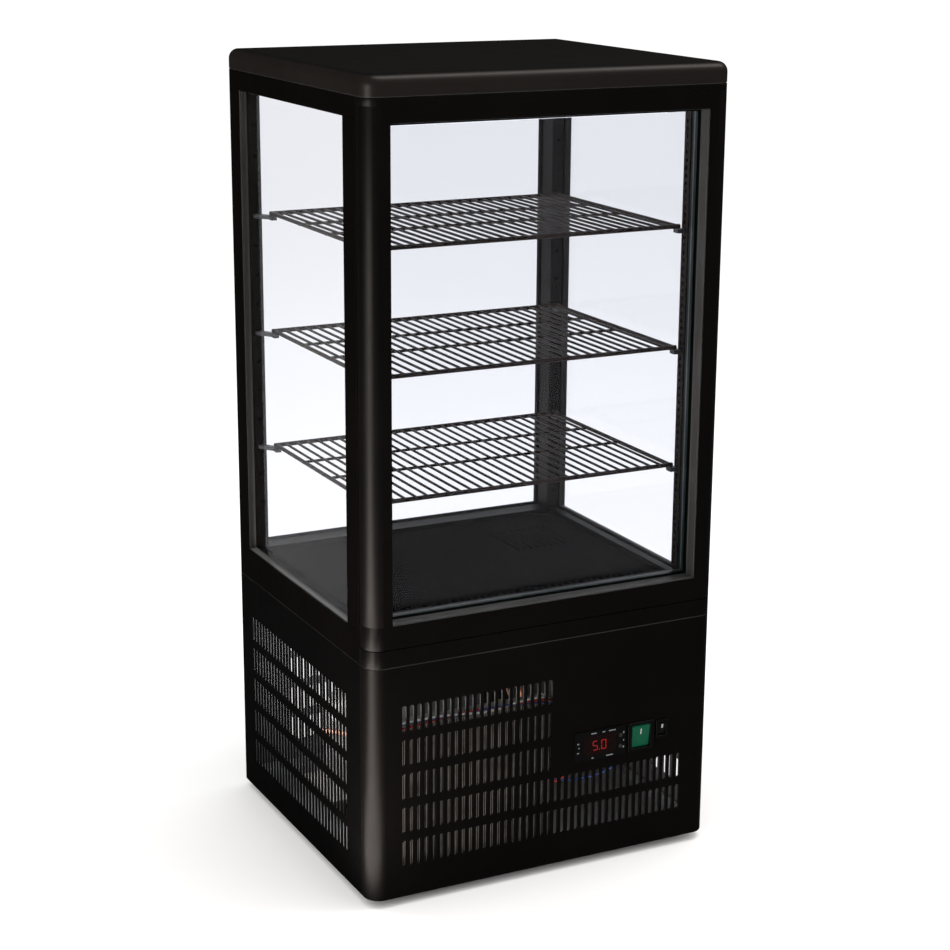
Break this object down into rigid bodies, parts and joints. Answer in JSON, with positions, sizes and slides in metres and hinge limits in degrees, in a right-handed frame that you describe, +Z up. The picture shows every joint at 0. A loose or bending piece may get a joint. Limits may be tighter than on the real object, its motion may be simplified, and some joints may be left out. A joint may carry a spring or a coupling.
{
  "type": "glass door merchandiser",
  "caption": "Countertop refrigerated display cabinet with glass on every side, a hinged glass front door, wire shelves and a slotted machine housing with front controls.",
  "frame": {"origin": "middle of the footprint at the bottom of the feet", "axes": "+Z up, the door faces -Y, +X to the right of someone facing the door from the front"},
  "size_m": [0.43, 0.39, 0.898],
  "materials": {
    "body_plastic": "satin",
    "door_plastic": "satin",
    "panel_metal": "satin",
    "frame_dark": "satin",
    "trim_light": "satin",
    "glass": "polished",
    "spacer_metal": "satin",
    "seal_rubber": "matte",
    "foot_rubber": "matte",
    "standard_metal": "satin",
    "shelf_wire": "coated",
    "clip_plastic": "satin",
    "deck_plastic": "satin",
    "tub_plastic": "matte",
    "ceiling_white": "satin",
    "lamp_diffuser": "frosted",
    "coil_metal": "satin",
    "compressor_paint": "satin",
    "fan_plastic": "satin",
    "copper": "satin",
    "tray_plastic": "matte",
    "pan_metal": "zinc plated",
    "pin_steel": "satin",
    "control_plastic": "satin",
    "display_lens": "smoked",
    "button_light": "satin",
    "rocker_green": "translucent",
    "rocker_black": "satin"
  },
  "bodies": {
    "cabinet": {"base_pan": "pan_metal", "feet": "foot_rubber", "lower_front_panel": "body_plastic", "lower_side_panel_left": "panel_metal", "lower_side_panel_right": "panel_metal", "lower_rear_panel": "panel_metal", "cord_inlet": "control_plastic", "seam_trims": "trim_light", "bottom_rail_left": "frame_dark", "bottom_rail_right": "frame_dark", "bottom_rail_rear": "frame_dark", "top_rail_left": "frame_dark", "top_rail_right": "frame_dark", "top_rail_rear": "frame_dark", "front_sill": "body_plastic", "threshold": "frame_dark", "top_header": "frame_dark", "post_front_left": "frame_dark", "post_front_right": "frame_dark", "post_rear_left": "frame_dark", "post_rear_right": "frame_dark", "shelf_standards": "standard_metal", "glass_side_left": "glass", "glass_side_right": "glass", "glass_rear": "glass", "ceiling_panel": "ceiling_white", "lamp_housing": "ceiling_white", "lamp_diffuser": "lamp_diffuser", "top_cover": "body_plastic", "hinge_pins": "pin_steel", "shelf_lower": "shelf_wire", "shelf_middle": "shelf_wire", "shelf_upper": "shelf_wire", "shelf_clips": "clip_plastic", "deck_panel": "deck_plastic", "evaporator_tub": "tub_plastic", "evaporator_coil": "coil_metal", "evaporator_fan_frame": "fan_plastic", "condenser_coil": "coil_metal", "condenser_fan_frame": "fan_plastic", "compressor": "compressor_paint", "filter_drier": "copper", "drip_tray": "tray_plastic", "controller_body": "control_plastic", "controller_window": "display_lens", "rocker_main_bezel": "control_plastic", "rocker_light_bezel": "control_plastic", "screws": "pin_steel"},
    "door": {"door_frame": "door_plastic", "door_cap_bottom": "door_plastic", "door_cap_top": "door_plastic", "door_panes": "glass", "door_spacer": "spacer_metal", "door_gasket": "seal_rubber"},
    "condenser_fan_wheel": {"condenser_fan_rotor": "fan_plastic"},
    "evaporator_fan_wheel": {"evaporator_fan_rotor": "fan_plastic"},
    "main_rocker": {"rocker_main": "rocker_green"},
    "light_rocker": {"rocker_light": "rocker_black"},
    "up_button": {"controller_button_up": "button_light"},
    "down_button": {"controller_button_down": "button_light"}
  },
  "joints": [
    {"name": "door_hinge", "type": "hinge", "parent": "cabinet", "child": "door", "pos_m": [0.2075, -0.184, 0.3], "axis": [0, 0, 1], "range_deg": [0, 110]},
    {"name": "condenser_fan_spin", "type": "hinge", "parent": "cabinet", "child": "condenser_fan_wheel", "pos_m": [-0.085, -0.133, 0.112], "axis": [0, 1, 0], "continuous": true},
    {"name": "evaporator_fan_spin", "type": "hinge", "parent": "cabinet", "child": "evaporator_fan_wheel", "pos_m": [0.118, 0.07, 0.288], "axis": [0, 0, 1], "continuous": true},
    {"name": "rocker_main_tilt", "type": "hinge", "parent": "cabinet", "child": "main_rocker", "pos_m": [0.122, -0.18915, 0.1451], "axis": [1, 0, 0], "range_deg": [-16, 0]},
    {"name": "rocker_light_tilt", "type": "hinge", "parent": "cabinet", "child": "light_rocker", "pos_m": [0.15, -0.1907, 0.1494], "axis": [1, 0, 0], "range_deg": [-18, 0]},
    {"name": "button_up_press", "type": "slide", "parent": "cabinet", "child": "up_button", "axis": [0, 1, 0], "range_m": [0, 0.0008], "stiffness_N_per_m": 300},
    {"name": "button_down_press", "type": "slide", "parent": "cabinet", "child": "down_button", "axis": [0, 1, 0], "range_m": [0, 0.0008], "stiffness_N_per_m": 300}
  ]
}
